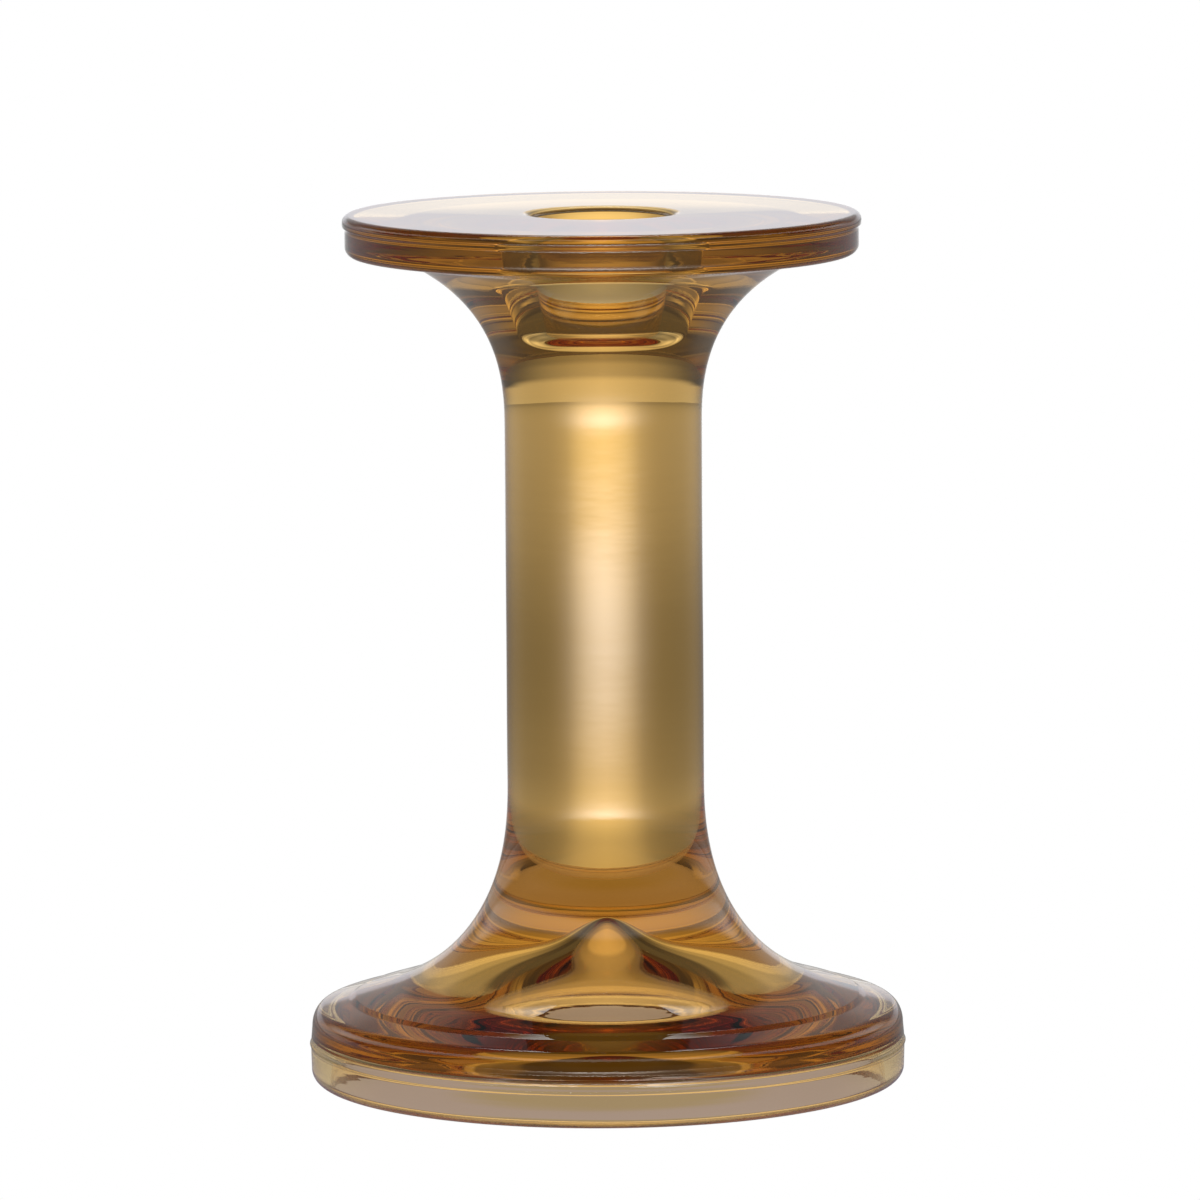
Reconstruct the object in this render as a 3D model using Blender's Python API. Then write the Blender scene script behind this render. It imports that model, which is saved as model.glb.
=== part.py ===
"""An amber glass candlestick: a wide foot with a hollow underside, a solid stem and a drip pan
with a tapered candle socket. Every piece is turned about the Z axis. Metres, +Z up, with the
origin at the middle of the underside, on the surface that the candlestick stands on."""

import math

import bmesh
import bpy

MM = 0.001

# Driving dimensions, in millimetres.
HEIGHT = 135.0
SEGMENTS = 64  # flat sides round each turned piece
BELL_STEPS = 12  # points along the bell, crowded towards its tip
JOIN_GAP = 0.3  # between two pieces that meet

STEM_R = 15.27
FOOT_JOIN_Z = 39.7  # ring line where the stem meets the foot
NECK_JOIN_Z = 108.5  # ring line where the stem meets the neck

# Foot: the flared upper part, down to the line round its rim.
RIM_LINE_R = 46.25  # widest radius of the candlestick
RIM_LINE_Z = 5.7
RIM_TOP_R = 46.0
SHOULDER_Z = 8.5
SHOULDER_WIDTH = 2.2
FLANGE_EDGE_Z = 11.7
FLANGE_INNER_R = 40.0
FLANGE_INNER_Z = 12.7
FOOT_FLARE_TOP_Z = 47.0
FOOT_FLARE_BOTTOM_Z = 13.2
FOOT_CONE_Z = 15.0  # below this the flare goes on as a shallow cone
FOOT_CONE_SPREAD = 3.3  # radius gained for each millimetre down the cone
FOOT_FLARE_RISE = 34.0
FOOT_FLARE_REACH = 32.0
FOOT_FLARE_POWER = 2.4

# Hollow underside: a flat ceiling that rises in a broad bell with a narrow tip in the middle.
HOLLOW_R = 42.4
CEILING_Z = 6.9
CEILING_R = 41.2
BELL_R = 30.0
BELL_RISE = 10.4
TIP_R = 4.8
TIP_RISE = 5.7
TIP_POWER = 1.8

# Foot ring: the rim below the line, which stands on the table.
RING_BOTTOM_R = 46.15
RING_CORNER = 1.8
RING_INNER_BOTTOM_R = 43.3
RING_INNER_CORNER = 0.5

# Neck, from the stem to the drip pan.
NECK_FLARE_Z = 102.0
NECK_FLARE_RISE = 30.25
NECK_FLARE_REACH = 42.5
NECK_FLARE_POWER = 2.5
PAN_JOIN_Z = 127.6

# Drip pan.
PAN_R = 40.1
PAN_RIDGE_Z = 133.6
PAN_TOP_CORNER = 1.2
PAN_SIDE_R = 39.7
PAN_BOTTOM_CORNER = 1.5
PAN_EDGE_Z = 128.6
PAN_UNDERSIDE_R = 30.5

# Candle socket: 22 mm at the mouth, tapering to a rounded bottom.
MOUTH_R = 11.0
MOUTH_LIP = 1.3
SOCKET_BOTTOM_R = 8.8
SOCKET_BOTTOM_Z = 117.1
SOCKET_ROUND = 3.8


def clear_scene():
    for obj in list(bpy.data.objects):
        bpy.data.objects.remove(obj, do_unlink=True)


def arc(centre_r, centre_z, radius_r, radius_z, start, end, steps):
    """Points of an elliptical arc in the (radius, height) plane, from start to end in degrees."""
    points = []
    for i in range(steps + 1):
        angle = math.radians(start + (end - start) * i / steps)
        points.append((centre_r + radius_r * math.cos(angle), centre_z + radius_z * math.sin(angle)))
    return points


def flare_radius(height_used, rise, reach, power):
    """Radius of a flare at this height along it: the stem's own radius at 0, widening to rise."""
    t = min(height_used / rise, 1.0)
    return STEM_R + reach * (1.0 - (1.0 - t**power) ** (1.0 / power))


def foot_flare_radius(z):
    curve_z = max(z, FOOT_CONE_Z)
    drop = max(FOOT_FLARE_TOP_Z - curve_z, 0.0)
    radius = flare_radius(drop, FOOT_FLARE_RISE, FOOT_FLARE_REACH, FOOT_FLARE_POWER)
    return radius + (curve_z - z) * FOOT_CONE_SPREAD


def neck_flare_radius(z):
    return flare_radius(max(z - NECK_FLARE_Z, 0.0), NECK_FLARE_RISE, NECK_FLARE_REACH, NECK_FLARE_POWER)


def along(radius_at, z_start, z_end, steps, bias=1.0):
    """Points (radius_at(z), z) from z_start to z_end. A bias over 1 crowds them near z_start."""
    points = []
    for i in range(steps + 1):
        z = z_start + (z_end - z_start) * (i / steps) ** bias
        points.append((radius_at(z), z))
    return points


def peak_height(r):
    """Height of the hollow's ceiling at radius r, where r is at most BELL_R."""
    bell = BELL_RISE * (1.0 + math.cos(math.pi * r / BELL_R)) / 2
    tip = TIP_RISE * math.exp(-((r / TIP_R) ** TIP_POWER))
    return CEILING_Z + bell + tip


def socket_wall_radius(z):
    """Radius of the socket's tapered wall at height z."""
    top = HEIGHT - MOUTH_LIP
    bottom = SOCKET_BOTTOM_Z + SOCKET_ROUND
    return SOCKET_BOTTOM_R + (MOUTH_R - SOCKET_BOTTOM_R) * (z - bottom) / (top - bottom)


def glass(name, colour):
    material = bpy.data.materials.new(name)
    material.use_nodes = True
    shader = material.node_tree.nodes["Principled BSDF"]
    shader.inputs["Base Color"].default_value = (*colour, 1.0)
    shader.inputs["Metallic"].default_value = 0.0
    shader.inputs["Roughness"].default_value = 0.03
    shader.inputs["IOR"].default_value = 1.51
    shader.inputs["Transmission Weight"].default_value = 1.0
    return material


def ring_of_vertices(mesh, r, z):
    """The vertices of one profile point: a full circle, or a single one on the axis."""
    if r < 1e-6:
        return [mesh.verts.new((0.0, 0.0, z * MM))]
    ring = []
    for i in range(SEGMENTS):
        angle = 2.0 * math.pi * i / SEGMENTS
        ring.append(mesh.verts.new((r * MM * math.cos(angle), r * MM * math.sin(angle), z * MM)))
    return ring


def turned(name, profile, material, closed):
    """A solid turned from a profile. A closed one joins its last point to its first; an open
    one starts and ends on the axis."""
    mesh = bmesh.new()
    rings = [ring_of_vertices(mesh, r, z) for r, z in profile]
    pairs = list(zip(rings, rings[1:]))
    if closed:
        pairs.append((rings[-1], rings[0]))
    for lower, upper in pairs:
        for i in range(SEGMENTS):
            j = (i + 1) % SEGMENTS
            corners = [lower[i % len(lower)], lower[j % len(lower)]]
            corners += [upper[j % len(upper)], upper[i % len(upper)]]
            mesh.faces.new(list(dict.fromkeys(corners)))
    bmesh.ops.recalc_face_normals(mesh, faces=mesh.faces)
    data = bpy.data.meshes.new(name)
    mesh.to_mesh(data)
    mesh.free()
    data.shade_smooth()
    data.set_sharp_from_angle(angle=math.radians(40.0))
    data.materials.append(material)
    obj = bpy.data.objects.new(name, data)
    bpy.context.scene.collection.objects.link(obj)
    return obj


def make_foot_ring():
    top = RIM_LINE_Z - JOIN_GAP / 2
    corner_r = RING_BOTTOM_R - RING_CORNER
    inner_r = RING_INNER_BOTTOM_R
    profile = arc(corner_r, RING_CORNER, RING_CORNER, RING_CORNER, -90, 0, 4)
    profile += [(RIM_LINE_R, top), (HOLLOW_R, top)]
    profile += arc(inner_r, RING_INNER_CORNER, RING_INNER_CORNER, RING_INNER_CORNER, 180, 270, 2)
    return turned("foot_ring", profile, glass("foot_ring", (0.80, 0.66, 0.45)), closed=True)


def make_foot():
    bottom = RIM_LINE_Z + JOIN_GAP / 2
    top = FOOT_JOIN_Z - JOIN_GAP / 2
    shoulder_r = RIM_TOP_R - SHOULDER_WIDTH
    profile = [(HOLLOW_R, bottom), (RIM_LINE_R, bottom)]
    profile += arc(shoulder_r, SHOULDER_Z, SHOULDER_WIDTH, FLANGE_EDGE_Z - SHOULDER_Z, 0, 90, 5)
    profile += [(FLANGE_INNER_R, FLANGE_INNER_Z)]
    profile += along(foot_flare_radius, FOOT_FLARE_BOTTOM_Z, top, 11, bias=1.6)
    profile += [(0.0, top)]
    bell_radii = [BELL_R * (i / BELL_STEPS) ** 1.6 for i in range(BELL_STEPS + 1)]
    hollow = [(r, peak_height(r)) for r in bell_radii]
    hollow += [(CEILING_R, CEILING_Z)]
    return turned("foot", hollow + profile, glass("foot", (0.62, 0.36, 0.08)), closed=False)


def make_stem():
    bottom = FOOT_JOIN_Z + JOIN_GAP / 2
    top = NECK_JOIN_Z - JOIN_GAP / 2
    profile = [(0.0, bottom)]
    profile += along(foot_flare_radius, bottom, FOOT_FLARE_TOP_Z, 3)
    profile += along(neck_flare_radius, NECK_FLARE_Z, top, 3)
    profile += [(0.0, top)]
    return turned("stem", profile, glass("stem", (0.78, 0.56, 0.26)), closed=False)


def make_neck():
    bottom = NECK_JOIN_Z + JOIN_GAP / 2
    top = PAN_JOIN_Z - JOIN_GAP / 2
    round_z = SOCKET_BOTTOM_Z + SOCKET_ROUND
    round_r = SOCKET_BOTTOM_R - SOCKET_ROUND
    profile = [(0.0, bottom)]
    profile += along(neck_flare_radius, bottom, top, 9, bias=0.8)
    profile += [(socket_wall_radius(top), top)]
    profile += arc(round_r, round_z, SOCKET_ROUND, SOCKET_ROUND, 0, -90, 5)
    profile += [(0.0, SOCKET_BOTTOM_Z)]
    return turned("socket_neck", profile, glass("socket_neck", (0.74, 0.52, 0.22)), closed=False)


def make_drip_pan():
    bottom = PAN_JOIN_Z + JOIN_GAP / 2
    corner_z = PAN_EDGE_Z + PAN_BOTTOM_CORNER
    corner_r = PAN_SIDE_R - PAN_BOTTOM_CORNER
    top_corner_z = HEIGHT - PAN_TOP_CORNER
    lip_z = HEIGHT - MOUTH_LIP
    profile = [(socket_wall_radius(bottom), bottom), (PAN_UNDERSIDE_R, bottom)]
    profile += arc(corner_r, corner_z, PAN_BOTTOM_CORNER, PAN_BOTTOM_CORNER, -90, 0, 4)
    profile += [(PAN_SIDE_R, PAN_RIDGE_Z - 0.7)]
    profile += arc(PAN_R - PAN_TOP_CORNER, top_corner_z, PAN_TOP_CORNER, PAN_TOP_CORNER, 0, 90, 4)
    profile += arc(MOUTH_R + MOUTH_LIP, lip_z, MOUTH_LIP, MOUTH_LIP, 90, 180, 4)
    return turned("drip_pan", profile, glass("drip_pan", (0.72, 0.49, 0.20)), closed=True)


clear_scene()
make_foot_ring()
make_foot()
make_stem()
make_neck()
make_drip_pan()
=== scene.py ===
"""The look of the glass candlestick: one continuous body of amber glass that stands for the
five CAD nodes, on a pale floor in soft studio light. Lengths of the glass are in millimetres
and are turned into metres when its mesh is made."""

import math

import bmesh
import bpy
from mathutils import Matrix, Vector, noise


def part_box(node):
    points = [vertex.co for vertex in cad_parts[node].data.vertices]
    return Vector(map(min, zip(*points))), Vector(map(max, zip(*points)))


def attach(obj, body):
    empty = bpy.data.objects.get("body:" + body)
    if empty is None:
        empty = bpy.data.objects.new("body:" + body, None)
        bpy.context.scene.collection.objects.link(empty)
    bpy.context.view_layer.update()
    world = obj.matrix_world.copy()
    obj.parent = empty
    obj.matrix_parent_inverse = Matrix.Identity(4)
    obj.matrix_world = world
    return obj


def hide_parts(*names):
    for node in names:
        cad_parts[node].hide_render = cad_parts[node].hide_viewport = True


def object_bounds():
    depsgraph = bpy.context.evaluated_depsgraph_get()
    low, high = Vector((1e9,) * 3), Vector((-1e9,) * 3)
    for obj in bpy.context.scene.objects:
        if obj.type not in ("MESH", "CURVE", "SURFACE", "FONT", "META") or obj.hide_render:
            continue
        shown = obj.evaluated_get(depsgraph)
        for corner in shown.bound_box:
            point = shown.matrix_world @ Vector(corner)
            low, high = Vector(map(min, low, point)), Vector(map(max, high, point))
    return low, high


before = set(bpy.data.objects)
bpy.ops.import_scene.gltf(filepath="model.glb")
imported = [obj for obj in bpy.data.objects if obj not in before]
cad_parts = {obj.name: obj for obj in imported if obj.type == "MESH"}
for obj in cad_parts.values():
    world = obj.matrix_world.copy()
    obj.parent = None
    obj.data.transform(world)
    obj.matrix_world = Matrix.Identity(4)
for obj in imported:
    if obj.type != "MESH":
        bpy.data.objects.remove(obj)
cad_low, cad_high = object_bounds()

MM = 0.001
SEGMENTS = 288


def top_of(node):
    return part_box(node)[1].z / MM


def widest(node):
    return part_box(node)[1].x / MM


# Heights and radii that the frame gives.
HEIGHT = top_of("drip_pan")
RIM_R = widest("foot")
PAN_R = widest("drip_pan")
RIM_LINE_Z = (top_of("foot_ring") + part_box("foot")[0].z / MM) / 2
FOOT_JOIN_Z = (top_of("foot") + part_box("stem")[0].z / MM) / 2
NECK_JOIN_Z = (top_of("stem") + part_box("socket_neck")[0].z / MM) / 2

# Stem and flares. Each flare is a quarter of a superellipse.
STEM_R = 15.27
FOOT_FLARE_TOP_Z = 47.0
FOOT_FLARE_BOTTOM_Z = 13.2
FOOT_CONE_Z = 15.0
FOOT_CONE_SPREAD = 3.3
FOOT_FLARE_RISE = 34.0
FOOT_FLARE_REACH = 32.0
FOOT_FLARE_POWER = 2.4
NECK_FLARE_Z = 102.0
NECK_FLARE_TOP_Z = 127.6
NECK_FLARE_RISE = 30.25
NECK_FLARE_REACH = 42.5
NECK_FLARE_POWER = 2.5

# Foot.
RIM_TOP_R = 46.0
RIM_BOTTOM_R = 46.15
RIM_CORNER = 1.8
SHOULDER_Z = 8.5
SHOULDER_WIDTH = 2.2
FLANGE_EDGE_Z = 11.7
FLANGE_INNER_R = 40.0
FLANGE_INNER_Z = 12.7
HOLLOW_R = 42.4
CEILING_Z = 6.9
CEILING_CORNER = 1.2
BELL_R = 30.0
BELL_RISE = 10.4
TIP_R = 4.8
TIP_RISE = 5.7
TIP_POWER = 1.8
RING_INNER_BOTTOM_R = 43.3
RING_INNER_CORNER = 0.5

# Drip pan and candle socket.
PAN_RIDGE_Z = 133.6
PAN_TOP_CORNER = 1.2
PAN_SIDE_R = 39.7
PAN_BOTTOM_CORNER = 1.5
PAN_EDGE_Z = 128.6
PAN_UNDERSIDE_END = (0.4, 0.03)  # inwards and down from the corner's bottom
PAN_STEP = (0.7, 0.3)  # below the ridge, where the side steps out to PAN_R
MOUTH_R = 11.0
MOUTH_LIP = 1.3
SOCKET_BOTTOM_R = 8.8
SOCKET_BOTTOM_Z = 117.1
SOCKET_ROUND = 3.8

# Rings left by the mould, as (height, push outwards, half width), and the slow unevenness.
RIM_LINE = (RIM_LINE_Z, 0.16, 0.16)
FOOT_JOIN_LINE = (FOOT_JOIN_Z, -0.012, 0.35)
NECK_JOIN_LINE = (NECK_JOIN_Z, -0.010, 0.30)
RIM_LINE_FROM_R = 44.0
JOIN_LINES_FROM_R = 14.0
JOIN_LINES_WITHIN_R = 17.0
UNEVENNESS = 0.05
SLOW_WAVE = 0.045  # waves for each millimetre
QUICK_WAVE = 0.14
QUICK_WAVE_SHARE = 0.15
QUICK_WAVE_OFFSET = (7.0, 3.0, 5.0)
FLAT_BOTTOM = 2.0  # the unevenness grows from nothing over this height
FLAT_TOP = 1.0
SHARP_ANGLE = 60.0

# Amber glass. Heights in its patterns are in metres.
GLASS_IOR = 1.51
TINT_DARK = (0.970, 0.790, 0.510, 1.0)
TINT_LIGHT = (0.990, 0.825, 0.560, 1.0)
VOLUME_COLOUR = (0.905, 0.667, 0.0, 1.0)
VOLUME_DENSITY = 42.0
SWIRL_SCALE = 60.0
SWIRL_FLATNESS = 3.5
SWIRL_RELIEF = 0.10
RIM_LINES_SCALE = (12.0, 12.0, 900.0)
RIM_LINES_RELIEF = 0.12
FOOT_RIM_ENDS = (0.009, 0.013)
PAN_RIM_STARTS = (0.126, 0.129)
STIPPLE_SCALE = 1100.0
STIPPLE_RELIEF = 0.5
STIPPLE_ROUGHNESS = 0.25
STIPPLE_ENDS = (0.0002, 0.0012)
POLISH_ROUGHNESS = 0.02
POLISH_SWIRL = (0.3, 0.8)  # where in the swirl the polish goes from even to slightly rough
BUMP_STRENGTH = 0.6
BUMP_DEPTH = 0.0002

# From here on, lengths are in metres. Light by azimuth is (degrees from directly behind the
# object, brightness), the same on both sides.
BELOW_GLASS = 0.0001
BACKDROP_R = 7.0
FLOOR_R = 9.0
# Painted shade under the foot: there the floor is dimmer and cool, and under the bell dimmer and warm,
# painted amber light that came through the glass.
UNDER_FOOT_R = 0.050
UNDER_FOOT_SHADE_LEVEL = 0.42
UNDER_FOOT_SHADE_TINT = (0.98, 0.90, 1.12, 1.0)
UNDER_FOOT_EDGE = 0.015
UNDER_BELL_R = 0.022
UNDER_BELL_EDGE = 0.005
UNDER_BELL_LIGHT_TINT = (0.92, 0.82, 0.68, 1.0)
FLOOR_LIGHT = (
    (0, 1.30), (8, 1.10), (15, 0.56), (25, 0.46), (40, 0.45),
    (58, 0.52), (76, 0.30), (110, 0.22), (180, 0.32),
)
# How the floor's light changes with distance: from where, to where, and its lower level.
FLOOR_NEAR = (0.10, 0.20, 0.60)
FLOOR_FAR = (0.9, 5.0, 0.70)
FLOOR_DIP_AT = 0.47
FLOOR_DIP_WIDTH = 0.25
FLOOR_DIP = 0.46

# Belts of the sky, from the horizon up, and the light at the very top.
HORIZON_LIGHT = (
    (0, 0.90), (12, 0.75), (28, 0.55), (45, 0.65), (60, 0.65),
    (80, 0.15), (110, 0.10), (145, 0.18), (165, 0.10), (180, 0.06),
)
LOW_LIGHT = (
    (0, 0.62), (15, 0.46), (40, 0.14), (70, 0.03),
    (110, 0.20), (140, 0.22), (160, 0.10), (180, 0.05),
)
MIDDLE_LIGHT = ((0, 0.42), (15, 0.32), (40, 0.12), (70, 0.05), (110, 0.10), (150, 0.05), (180, 0.0))
UPPER_LIGHT = (
    (0, 0.12), (20, 0.10), (50, 0.05), (110, 0.10),
    (135, 0.16), (155, 0.14), (166, 0.05), (180, 0.03),
)
TOP_LEVEL = 0.12
# Where each belt gives way to the next, as (degrees of elevation, half width of the change).
BELTS = ((9.0, 2.0), (20.0, 3.0), (35.0, 3.0), (50.0, 4.0))

# Lights that are seen only as reflections on the outside of the glass. Angles are in degrees.
CARD_AT = 0.58
CARD_WIDTH = 0.21
CARD_ANGLE = 34.0
CARD_LEVEL = 8.0
CARD_ABOVE_FLOOR = 0.001
DOME_R = 6.0
RING_LEVEL = 1.2
RING_MIDDLE = 31.0
RING_TILT = 20.0
RING_HALF_WIDTH = 6.0
RING_EDGE = 3.0
RING_FROM = (30.0, 50.0)  # azimuths over which it comes up
PANEL_LEVEL = 3.0
PANEL_ELEVATION = (43.0, 60.0)
PANEL_BRIGHTENS = (42.0, 54.0, 0.25)  # elevations, and the level below them
PANEL_HALF_ANGLE = 16.0
PANEL_SIDE_EDGE = 4.0
PANEL_LEVEL_EDGE = 1.0
GLOW_LEVEL = 0.20
GLOW_COLOUR = (0.90, 0.88, 1.10, 1.0)
GLOW_ELEVATION = (1.0, 9.0)
GLOW_EDGE = 1.0
GLOW_FADES = (12.0, 30.0)  # azimuths over which it goes down
WHITE = (1.0, 1.0, 1.0, 1.0)

# Camera: a long lens, a little above the pan.
LENS_MM = 280.4
CLIP = (0.05, 60.0)
SENSOR_MM = 36.0
CAMERA_PLACE = (-0.00069, -1.4361, 0.26274)
CAMERA_TILT = 7.456
CAMERA_ROLL = 0.439


def arc(centre_r, centre_z, radius_r, radius_z, start, end, steps):
    """Points of an elliptical arc in the (radius, height) plane, from start to end in degrees."""
    points = []
    for i in range(steps + 1):
        angle = math.radians(start + (end - start) * i / steps)
        points.append((centre_r + radius_r * math.cos(angle), centre_z + radius_z * math.sin(angle)))
    return points


def line(start, end, steps):
    """Evenly spaced points from start to end, without start itself."""
    points = []
    for i in range(1, steps + 1):
        t = i / steps
        points.append((start[0] + (end[0] - start[0]) * t, start[1] + (end[1] - start[1]) * t))
    return points


def flare_radius(height_used, rise, reach, power):
    t = min(max(height_used, 0.0) / rise, 1.0)
    return STEM_R + reach * (1.0 - (1.0 - t**power) ** (1.0 / power))


def foot_flare(z):
    curve_z = max(z, FOOT_CONE_Z)
    drop = FOOT_FLARE_TOP_Z - curve_z
    radius = flare_radius(drop, FOOT_FLARE_RISE, FOOT_FLARE_REACH, FOOT_FLARE_POWER)
    return radius + (curve_z - z) * FOOT_CONE_SPREAD


def neck_flare(z):
    return flare_radius(z - NECK_FLARE_Z, NECK_FLARE_RISE, NECK_FLARE_REACH, NECK_FLARE_POWER)


def peak_height(r):
    """Height of the hollow's ceiling at radius r: a broad bell with a narrow tip."""
    broad = BELL_RISE * (1.0 + math.cos(math.pi * min(r / BELL_R, 1.0))) / 2
    tip = TIP_RISE * math.exp(-((r / TIP_R) ** TIP_POWER))
    return CEILING_Z + broad + tip


def hollow_profile():
    """From the tip of the peak, out along the ceiling and down inside the foot ring."""
    edge_r = HOLLOW_R - CEILING_CORNER
    radii = [edge_r * (i / 60) ** 1.3 for i in range(61)]
    points = [(r, peak_height(r)) for r in radii]
    corner_z = CEILING_Z - CEILING_CORNER
    points += arc(edge_r, corner_z, CEILING_CORNER, CEILING_CORNER, 90, 0, 8)[1:]
    points += line(points[-1], (RING_INNER_BOTTOM_R - RING_INNER_CORNER, RING_INNER_CORNER), 6)
    corner = RING_INNER_CORNER
    points += arc(RING_INNER_BOTTOM_R, corner, corner, corner, 180, 270, 5)[1:]
    return points


def rim_profile():
    """From the foot ring's underside up the rim to the flange's inner edge."""
    corner_r = RIM_BOTTOM_R - RIM_CORNER
    points = line((RING_INNER_BOTTOM_R, 0.0), (corner_r, 0.0), 3)
    points += arc(corner_r, RIM_CORNER, RIM_CORNER, RIM_CORNER, -90, 0, 10)[1:]
    points += line(points[-1], (RIM_R, RIM_LINE_Z), 12)
    points += line(points[-1], (RIM_TOP_R, SHOULDER_Z), 8)
    shoulder_r = RIM_TOP_R - SHOULDER_WIDTH
    points += arc(shoulder_r, SHOULDER_Z, SHOULDER_WIDTH, FLANGE_EDGE_Z - SHOULDER_Z, 0, 80, 12)[1:]
    points += line(points[-1], (FLANGE_INNER_R, FLANGE_INNER_Z), 12)
    return points


def flares_profile():
    """Up the foot's flare, the stem and the neck's flare."""
    points = []
    for i in range(71):
        z = FOOT_FLARE_BOTTOM_Z + (FOOT_FLARE_TOP_Z - FOOT_FLARE_BOTTOM_Z) * (i / 70) ** 1.5
        points.append((foot_flare(z), z))
    points += line(points[-1], (STEM_R, NECK_FLARE_Z), 60)
    for i in range(1, 51):
        z = NECK_FLARE_Z + (NECK_FLARE_TOP_Z - NECK_FLARE_Z) * (i / 50) ** 0.8
        points.append((neck_flare(z), z))
    return points


def pan_profile():
    """Round the drip pan, from its underside to the middle of the top face."""
    corner_r = PAN_SIDE_R - PAN_BOTTOM_CORNER
    corner_z = PAN_EDGE_Z + PAN_BOTTOM_CORNER
    flare_top = (neck_flare(NECK_FLARE_TOP_Z), NECK_FLARE_TOP_Z)
    inwards, down = PAN_UNDERSIDE_END
    points = line(flare_top, (corner_r - inwards, PAN_EDGE_Z - down), 10)
    points += arc(corner_r, corner_z, PAN_BOTTOM_CORNER, PAN_BOTTOM_CORNER, -86, 0, 10)
    step_low, step_high = PAN_STEP
    points += line(points[-1], (PAN_SIDE_R, PAN_RIDGE_Z - step_low), 6)
    points += line(points[-1], (PAN_R, PAN_RIDGE_Z - step_high), 2)
    top_z = HEIGHT - PAN_TOP_CORNER
    points += arc(PAN_R - PAN_TOP_CORNER, top_z, PAN_TOP_CORNER, PAN_TOP_CORNER, 0, 90, 8)
    points += line(points[-1], (MOUTH_R + MOUTH_LIP, HEIGHT), 40)
    return points


def socket_profile():
    """From the mouth's lip down the tapered wall to the rounded bottom."""
    lip_z = HEIGHT - MOUTH_LIP
    points = arc(MOUTH_R + MOUTH_LIP, lip_z, MOUTH_LIP, MOUTH_LIP, 90, 180, 8)[1:]
    round_z = SOCKET_BOTTOM_Z + SOCKET_ROUND
    points += line(points[-1], (SOCKET_BOTTOM_R, round_z), 12)
    round_r = SOCKET_BOTTOM_R - SOCKET_ROUND
    points += arc(round_r, round_z, SOCKET_ROUND, SOCKET_ROUND, 0, -90, 14)[1:]
    points += [(round_r / 2, SOCKET_BOTTOM_Z), (0.0, SOCKET_BOTTOM_Z)]
    return points


def ring_push(z, mould_line):
    """How far a mould line pushes the surface outwards at height z."""
    line_z, push, half_width = mould_line
    return push * math.exp(-(((z - line_z) / half_width) ** 2))


def ripple(r, z):
    """The rings left by the mould, as a small push outwards at this point of the profile."""
    push = 0.0
    if r > RIM_LINE_FROM_R:
        push += ring_push(z, RIM_LINE)
    if r < JOIN_LINES_WITHIN_R:
        push += ring_push(z, FOOT_JOIN_LINE)
    if JOIN_LINES_FROM_R < r < JOIN_LINES_WITHIN_R:
        push += ring_push(z, NECK_JOIN_LINE)
    return push


def waviness(point, amount):
    """The slow unevenness of pressed glass, in millimetres."""
    slow = noise.noise(point * SLOW_WAVE)
    quick = noise.noise(point * QUICK_WAVE + Vector(QUICK_WAVE_OFFSET))
    return amount * (slow + QUICK_WAVE_SHARE * quick)


def new_object(name, mesh):
    data = bpy.data.meshes.new(name)
    mesh.to_mesh(data)
    mesh.free()
    obj = bpy.data.objects.new(name, data)
    bpy.context.scene.collection.objects.link(obj)
    return obj


def ring_of_vertices(mesh, r, z):
    """The vertices of one profile point: a full circle, or a single one on the axis."""
    if r < 1e-6:
        return [mesh.verts.new((0.0, 0.0, z * MM))]
    out = r + ripple(r, z)
    ring = []
    for i in range(SEGMENTS):
        angle = 2.0 * math.pi * i / SEGMENTS
        point = Vector((out * math.cos(angle), out * math.sin(angle), z))
        ring.append(mesh.verts.new(point * MM))
    return ring


def join_rings(mesh, rings):
    for lower, upper in zip(rings, rings[1:]):
        for i in range(SEGMENTS):
            j = (i + 1) % SEGMENTS
            corners = [lower[i % len(lower)], lower[j % len(lower)]]
            corners += [upper[j % len(upper)], upper[i % len(upper)]]
            mesh.faces.new(list(dict.fromkeys(corners)))
    bmesh.ops.recalc_face_normals(mesh, faces=mesh.faces)
    mesh.normal_update()


def make_uneven(mesh):
    """Moves each point a little along its normal, but not where the glass stands or ends."""
    moves = []
    for vertex in mesh.verts:
        place = vertex.co / MM
        above_table = min(1.0, max(0.0, place.z / FLAT_BOTTOM))
        below_top = min(1.0, max(0.0, (HEIGHT - place.z) / FLAT_TOP))
        amount = UNEVENNESS * (above_table * below_top)
        moves.append(vertex.normal * waviness(place, amount) * MM)
    for vertex, move in zip(mesh.verts, moves):
        vertex.co += move


def make_glass_body():
    """One closed body of glass, turned from the whole profile."""
    profile = hollow_profile() + rim_profile() + flares_profile() + pan_profile() + socket_profile()
    mesh = bmesh.new()
    rings = [ring_of_vertices(mesh, r, z) for r, z in profile]
    join_rings(mesh, rings)
    make_uneven(mesh)
    body = new_object("glass_body", mesh)
    body.data.shade_smooth()
    body.data.set_sharp_from_angle(angle=math.radians(SHARP_ANGLE))
    return body


class Nodes:
    """A short way to add nodes to a material or a world and to link them."""

    def __init__(self, tree):
        self.tree = tree
        tree.nodes.clear()

    def add(self, kind, inputs=None, **settings):
        node = self.tree.nodes.new(kind)
        for name, value in settings.items():
            setattr(node, name, value)
        for key, value in (inputs or {}).items():
            if isinstance(value, bpy.types.NodeSocket):
                self.tree.links.new(value, node.inputs[key])
            else:
                node.inputs[key].default_value = value
        return node

    def maths(self, operation, *values):
        inputs = dict(enumerate(values))
        return self.add("ShaderNodeMath", inputs, operation=operation).outputs[0]

    def fade(self, value, low, high, to_low=0.0, to_high=1.0):
        """value mapped smoothly from low..high to to_low..to_high."""
        inputs = {"Value": value, "From Min": low, "From Max": high, "To Min": to_low, "To Max": to_high}
        return self.add("ShaderNodeMapRange", inputs, interpolation_type="SMOOTHSTEP").outputs[0]


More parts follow.
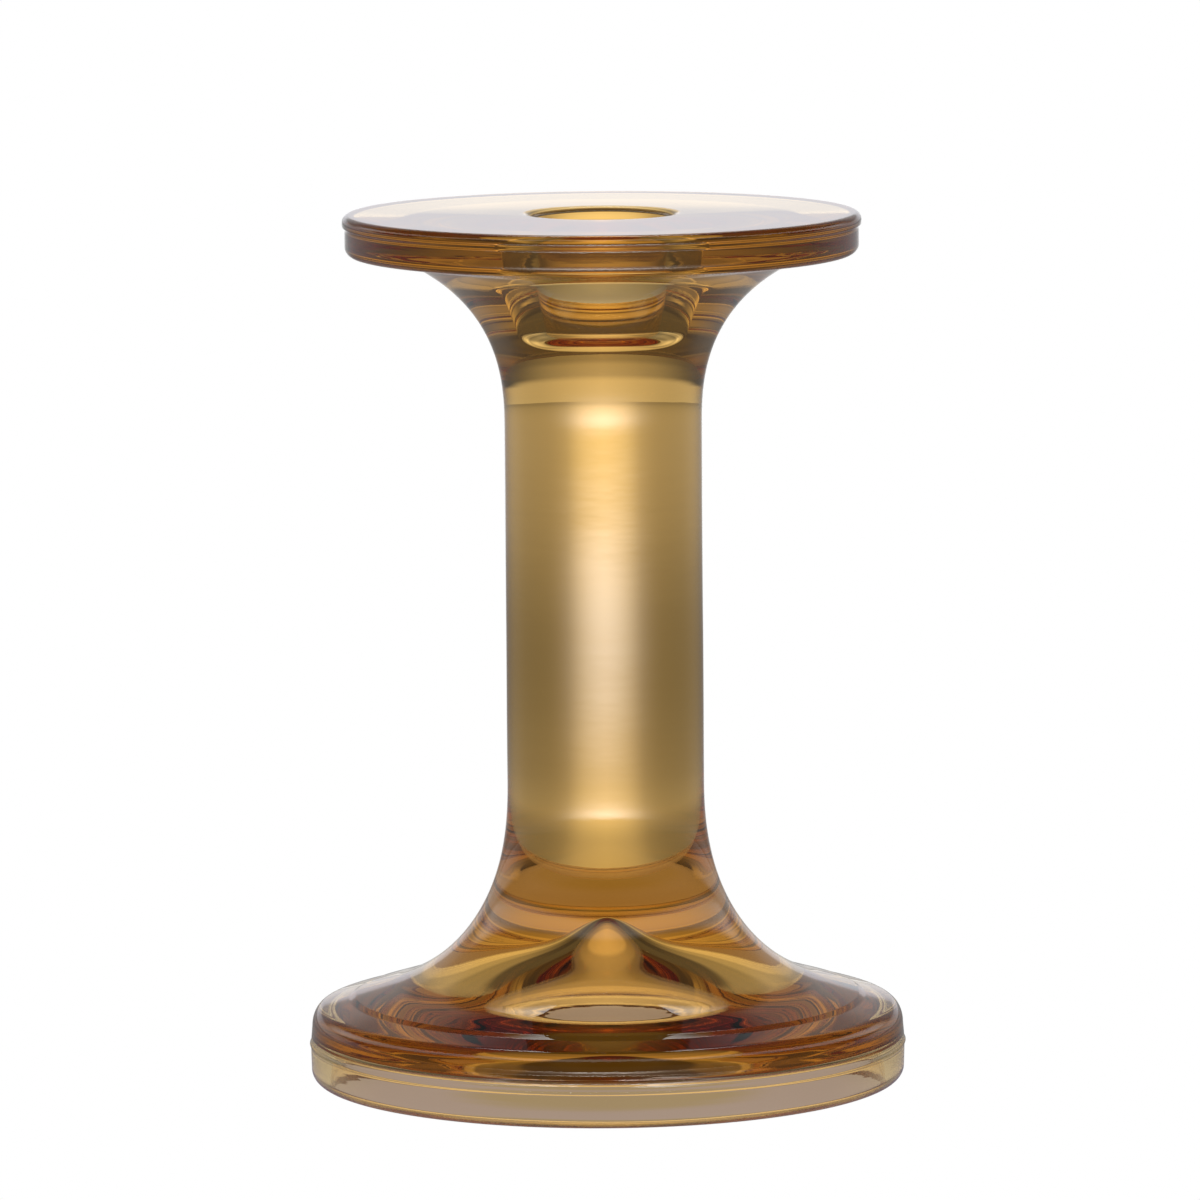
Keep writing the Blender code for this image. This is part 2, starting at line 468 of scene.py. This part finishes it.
def node_material(name):
    """A new material with no nodes yet, and what adds nodes to it."""
    material = bpy.data.materials.new(name)
    material.use_nodes = True
    return material, Nodes(material.node_tree)


def glass_swirl(n, place):
    """The slow swirl in the glass, drawn out flat."""
    drawn = n.add("ShaderNodeMapping", {"Vector": place, "Scale": (1.0, 1.0, SWIRL_FLATNESS)}).outputs[0]
    return n.add("ShaderNodeTexNoise", {"Vector": drawn, "Scale": SWIRL_SCALE, "Detail": 3.0}).outputs[0]


def rim_lines(n, place, height):
    """Fine level lines on the foot's rim and the drip pan's."""
    layers = n.add("ShaderNodeMapping", {"Vector": place, "Scale": RIM_LINES_SCALE}).outputs[0]
    lines = n.add("ShaderNodeTexNoise", {"Vector": layers, "Scale": 1.0, "Detail": 2.0}).outputs[0]
    rims = n.maths("ADD", n.fade(height, *FOOT_RIM_ENDS, 1.0, 0.0), n.fade(height, *PAN_RIM_STARTS))
    return n.maths("MULTIPLY", lines, rims)


def amber_glass():
    material, n = node_material("amber_glass")
    place = n.add("ShaderNodeTexCoord").outputs["Object"]
    height = n.add("ShaderNodeSeparateXYZ", {0: place}).outputs["Z"]
    swirl = glass_swirl(n, place)
    underside = n.fade(height, *STIPPLE_ENDS, 1.0, 0.0)
    dots = n.add("ShaderNodeTexVoronoi", {"Vector": place, "Scale": STIPPLE_SCALE}).outputs["Distance"]
    stipple = n.maths("MULTIPLY", n.maths("MULTIPLY", dots, underside), STIPPLE_RELIEF)
    relief = n.maths("ADD", n.maths("MULTIPLY", swirl, SWIRL_RELIEF), stipple)
    lines = n.maths("MULTIPLY", rim_lines(n, place, height), RIM_LINES_RELIEF)
    relief = n.maths("ADD", relief, lines)
    bump = n.add("ShaderNodeBump", {"Height": relief, "Strength": BUMP_STRENGTH, "Distance": BUMP_DEPTH})
    polish = n.fade(swirl, *POLISH_SWIRL, 0.0, POLISH_ROUGHNESS)
    roughness = n.maths("ADD", polish, n.maths("MULTIPLY", underside, STIPPLE_ROUGHNESS))
    tint = n.add("ShaderNodeValToRGB", {"Fac": swirl})
    tint.color_ramp.elements[0].color = TINT_DARK
    tint.color_ramp.elements[1].color = TINT_LIGHT
    inputs = {
        "Base Color": tint.outputs["Color"],
        "Roughness": roughness,
        "IOR": GLASS_IOR,
        "Transmission Weight": 1.0,
        "Normal": bump.outputs["Normal"],
    }
    surface = n.add("ShaderNodeBsdfPrincipled", inputs)
    volume = n.add("ShaderNodeVolumeAbsorption", {"Color": VOLUME_COLOUR, "Density": VOLUME_DENSITY})
    out = {"Surface": surface.outputs[0], "Volume": volume.outputs[0]}
    n.add("ShaderNodeOutputMaterial", out)
    return material


def window(n, value, low, high, edge):
    """1 between low and high, falling smoothly to 0 within edge of each of them."""
    rising = n.fade(value, low - edge, low + edge)
    falling = n.fade(value, high - edge, high + edge, 1.0, 0.0)
    return n.maths("MULTIPLY", rising, falling)


def azimuth(n, x, y):
    """Degrees round from directly behind the object, the same on both sides."""
    turn = n.maths("ABSOLUTE", n.maths("ARCTAN2", x, y))
    return n.maths("MULTIPLY", turn, 180.0 / math.pi)


def make_backdrop():
    """A plain white floor and dome, which only the camera sees."""
    mesh = bmesh.new()
    bmesh.ops.create_uvsphere(mesh, u_segments=48, v_segments=24, radius=BACKDROP_R)
    bmesh.ops.bisect_plane(
        mesh, geom=mesh.verts[:] + mesh.edges[:] + mesh.faces[:],
        plane_co=(0.0, 0.0, 0.0), plane_no=(0.0, 0.0, -1.0), clear_outer=True,
    )
    bmesh.ops.create_circle(mesh, cap_ends=True, segments=48, radius=BACKDROP_R)
    backdrop = new_object("backdrop", mesh)
    backdrop.location.z = cad_low.z - BELOW_GLASS
    material, n = node_material("white_backdrop")
    light = n.add("ShaderNodeEmission", {"Color": WHITE, "Strength": 1.0})
    n.add("ShaderNodeOutputMaterial", {"Surface": light.outputs[0]})
    backdrop.data.materials.append(material)
    backdrop.visible_diffuse = False
    backdrop.visible_glossy = False
    backdrop.visible_transmission = False
    backdrop.visible_shadow = False


def by_azimuth(n, turn, stops):
    """The brightness at this azimuth, on a smooth curve through the stops."""
    node = n.add("ShaderNodeValToRGB", {"Fac": n.maths("DIVIDE", turn, 180.0)})
    node.color_ramp.interpolation = "B_SPLINE"
    elements = node.color_ramp.elements
    while len(elements) < len(stops):
        elements.new(1.0)
    for element, (degrees, level) in zip(elements, stops):
        element.position = degrees / 180.0
        element.color = (level / 2.0, level / 2.0, level / 2.0, 1.0)
    return n.maths("MULTIPLY", node.outputs["Color"], 2.0)


def blended(n, factor, a, b):
    return n.add("ShaderNodeMix", {"Factor": factor, "A": a, "B": b}, data_type="FLOAT").outputs[0]


def mixed_colour(n, factor, a, b):
    inputs = {"Factor": factor, "A": a, "B": b}
    return n.add("ShaderNodeMix", inputs, data_type="RGBA").outputs["Result"]


def lit_disc(name, radius):
    """A round flat object on the table, and what its material needs: nodes, azimuth and distance."""
    mesh = bmesh.new()
    bmesh.ops.create_circle(mesh, cap_ends=True, segments=64, radius=radius)
    disc = new_object(name, mesh)
    disc.location.z = cad_low.z - BELOW_GLASS
    material, n = node_material(name + "_light")
    disc.data.materials.append(material)
    place = n.add("ShaderNodeSeparateXYZ", {0: n.add("ShaderNodeTexCoord").outputs["Object"]})
    x, y = place.outputs["X"], place.outputs["Y"]
    away = n.maths("SQRT", n.maths("ADD", n.maths("MULTIPLY", x, x), n.maths("MULTIPLY", y, y)))
    disc.visible_camera = False
    return disc, n, azimuth(n, x, y), away


def bell(n, value, centre, width):
    """A soft bump of height 1 at the centre."""
    off = n.maths("DIVIDE", n.maths("SUBTRACT", value, centre), width)
    return n.maths("EXPONENT", n.maths("MULTIPLY", n.maths("MULTIPLY", off, off), -1.0))


def make_floor():
    """The table top that the glass sees, lit from behind and dimmer to the sides, with painted shade
    under the foot.
    """
    floor, n, turn, away = lit_disc("floor", FLOOR_R)
    dimming = n.maths("MULTIPLY", bell(n, away, FLOOR_DIP_AT, FLOOR_DIP_WIDTH), FLOOR_DIP)
    level = n.maths("MULTIPLY", by_azimuth(n, turn, FLOOR_LIGHT), n.maths("SUBTRACT", 1.0, dimming))
    near_low, near_high, near_level = FLOOR_NEAR
    far_low, far_high, far_level = FLOOR_FAR
    level = n.maths("MULTIPLY", level, n.fade(away, near_low, near_high, near_level, 1.0))
    level = n.maths("MULTIPLY", level, n.fade(away, far_low, far_high, 1.0, far_level))
    # Painted shade under the foot and painted amber light under the bell, mixed into the floor's glow.
    past_bell = n.fade(away, UNDER_BELL_R - UNDER_BELL_EDGE, UNDER_BELL_R + UNDER_BELL_EDGE)
    under = mixed_colour(n, past_bell, UNDER_BELL_LIGHT_TINT, UNDER_FOOT_SHADE_TINT)
    outside = n.fade(away, UNDER_FOOT_R - UNDER_FOOT_EDGE, UNDER_FOOT_R + UNDER_FOOT_EDGE)
    colour = mixed_colour(n, outside, under, WHITE)
    strength = blended(n, outside, UNDER_FOOT_SHADE_LEVEL, level)
    light = n.add("ShaderNodeEmission", {"Color": colour, "Strength": strength})
    n.add("ShaderNodeOutputMaterial", {"Surface": light.outputs[0]})


def only_reflected(light_source):
    light_source.visible_camera = False
    light_source.visible_transmission = False
    light_source.visible_diffuse = False
    light_source.visible_shadow = False


def add_clear_glow(n, light):
    """Gives off this light and lets everything behind it through."""
    clear = n.add("ShaderNodeBsdfTransparent")
    both = n.add("ShaderNodeAddShader", {0: light.outputs[0], 1: clear.outputs[0]})
    n.add("ShaderNodeOutputMaterial", {"Surface": both.outputs[0]})


def make_front_card():
    """A bright card low in front, which shows as the soft highlight down the stem."""
    card, n, turn, away = lit_disc("front_card", CARD_AT + 3 * CARD_WIDTH)
    card.location.z += CARD_ABOVE_FLOOR
    across = bell(n, turn, 180.0, CARD_ANGLE)
    spot = n.maths("MULTIPLY", across, bell(n, away, CARD_AT, CARD_WIDTH))
    light = n.add("ShaderNodeEmission", {"Strength": n.maths("MULTIPLY", spot, CARD_LEVEL)})
    add_clear_glow(n, light)
    only_reflected(card)


def directions(n, vector):
    """Azimuth and elevation, in degrees, of a direction from the object."""
    unit = n.add("ShaderNodeVectorMath", {0: vector}, operation="NORMALIZE").outputs[0]
    way = n.add("ShaderNodeSeparateXYZ", {0: unit})
    rise = n.maths("MULTIPLY", n.maths("ARCSINE", way.outputs["Z"]), 180.0 / math.pi)
    return azimuth(n, way.outputs["X"], way.outputs["Y"]), rise


def ring_light(n, turn, rise):
    """A tilted ring of light round the front and sides, a pale band on the foot's flare."""
    cosine = n.maths("COSINE", n.maths("MULTIPLY", turn, math.pi / 180.0))
    lean = n.maths("MULTIPLY", cosine, RING_TILT)
    above_middle = n.maths("ADD", n.maths("SUBTRACT", rise, RING_MIDDLE), lean)
    off = n.maths("ABSOLUTE", above_middle)
    band = n.fade(off, RING_HALF_WIDTH - RING_EDGE, RING_HALF_WIDTH + RING_EDGE, 1.0, 0.0)
    ring = n.maths("MULTIPLY", band, n.fade(turn, *RING_FROM))
    return n.maths("MULTIPLY", ring, RING_LEVEL)


def panel_light(n, turn, rise):
    """A panel high behind, which shows on the shoulder of the foot's flange."""
    low, high = PANEL_ELEVATION
    dim_below, full_above, dim_level = PANEL_BRIGHTENS
    by_height = n.fade(rise, dim_below, full_above, dim_level, 1.0)
    by_height = n.maths("MULTIPLY", by_height, window(n, rise, low, high, PANEL_LEVEL_EDGE))
    full_until = PANEL_HALF_ANGLE - PANEL_SIDE_EDGE
    dark_from = PANEL_HALF_ANGLE + PANEL_SIDE_EDGE
    panel = n.maths("MULTIPLY", by_height, n.fade(turn, full_until, dark_from, 1.0, 0.0))
    return n.maths("MULTIPLY", panel, PANEL_LEVEL)


def glow_light(n, turn, rise):
    """A cool glow low behind, which shows on the top of the drip pan."""
    low, high = GLOW_ELEVATION
    glow = n.maths("MULTIPLY", window(n, rise, low, high, GLOW_EDGE), n.fade(turn, *GLOW_FADES, 1.0, 0.0))
    return n.maths("MULTIPLY", glow, GLOW_LEVEL)


def make_reflected_dome():
    """A clear dome that carries the three reflected lights: the ring, the panel and the glow."""
    mesh = bmesh.new()
    bmesh.ops.create_uvsphere(mesh, u_segments=64, v_segments=32, radius=DOME_R)
    dome = new_object("reflected_dome", mesh)
    material, n = node_material("reflected_dome_light")
    turn, rise = directions(n, n.add("ShaderNodeTexCoord").outputs["Object"])
    level = n.maths("ADD", ring_light(n, turn, rise), panel_light(n, turn, rise))
    white = n.add("ShaderNodeEmission", {"Strength": level})
    cool = n.add("ShaderNodeEmission", {"Color": GLOW_COLOUR, "Strength": glow_light(n, turn, rise)})
    lights = n.add("ShaderNodeAddShader", {0: white.outputs[0], 1: cool.outputs[0]})
    add_clear_glow(n, lights)
    dome.data.materials.append(material)
    only_reflected(dome)


def make_studio():
    """The sky that the glass sees: belts of soft light, each with its own brightness by azimuth."""
    world = bpy.data.worlds.new("studio")
    bpy.context.scene.world = world
    world.use_nodes = True
    n = Nodes(world.node_tree)
    way = n.add("ShaderNodeSeparateXYZ", {0: n.add("ShaderNodeTexCoord").outputs["Generated"]})
    turn = azimuth(n, way.outputs["X"], way.outputs["Y"])
    rise = n.maths("MULTIPLY", n.maths("ARCSINE", way.outputs["Z"]), 180.0 / math.pi)
    level = by_azimuth(n, turn, HORIZON_LIGHT)
    above = [by_azimuth(n, turn, stops) for stops in (LOW_LIGHT, MIDDLE_LIGHT, UPPER_LIGHT)] + [TOP_LEVEL]
    for (limit, edge), belt in zip(BELTS, above):
        level = blended(n, n.fade(rise, limit - edge, limit + edge), level, belt)
    sky = n.add("ShaderNodeBackground", {"Color": WHITE, "Strength": level})
    n.add("ShaderNodeOutputWorld", {"Surface": sky.outputs[0]})


def make_camera():
    """A long lens, a little above the pan and tilted down."""
    tilt = math.radians(CAMERA_TILT)
    roll = math.radians(CAMERA_ROLL)
    data = bpy.data.cameras.new("camera")
    data.lens = LENS_MM
    data.sensor_width = SENSOR_MM
    data.clip_start, data.clip_end = CLIP
    camera = bpy.data.objects.new("camera", data)
    bpy.context.scene.collection.objects.link(camera)
    forward = Vector((0.0, math.cos(tilt), -math.sin(tilt)))
    right = Vector((1.0, 0.0, 0.0))
    up = right.cross(forward)
    level = Matrix((right, up, -forward)).transposed().to_4x4()
    turned = level @ Matrix.Rotation(-roll, 4, "Z")
    camera.matrix_world = Matrix.Translation(CAMERA_PLACE) @ turned
    bpy.context.scene.camera = camera


def set_glass_quality():
    """Enough bounces for light that is trapped in the glass, and a plain display transform."""
    scene = bpy.context.scene
    scene.view_settings.view_transform = "Standard"
    scene.cycles.max_bounces = 32
    scene.cycles.transmission_bounces = 32
    scene.cycles.glossy_bounces = 24


body = make_glass_body()
body.data.materials.append(amber_glass())
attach(body, "root")
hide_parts("drip_pan", "socket_neck", "stem", "foot", "foot_ring")
make_backdrop()
make_floor()
make_front_card()
make_reflected_dome()
make_studio()
make_camera()
set_glass_quality()
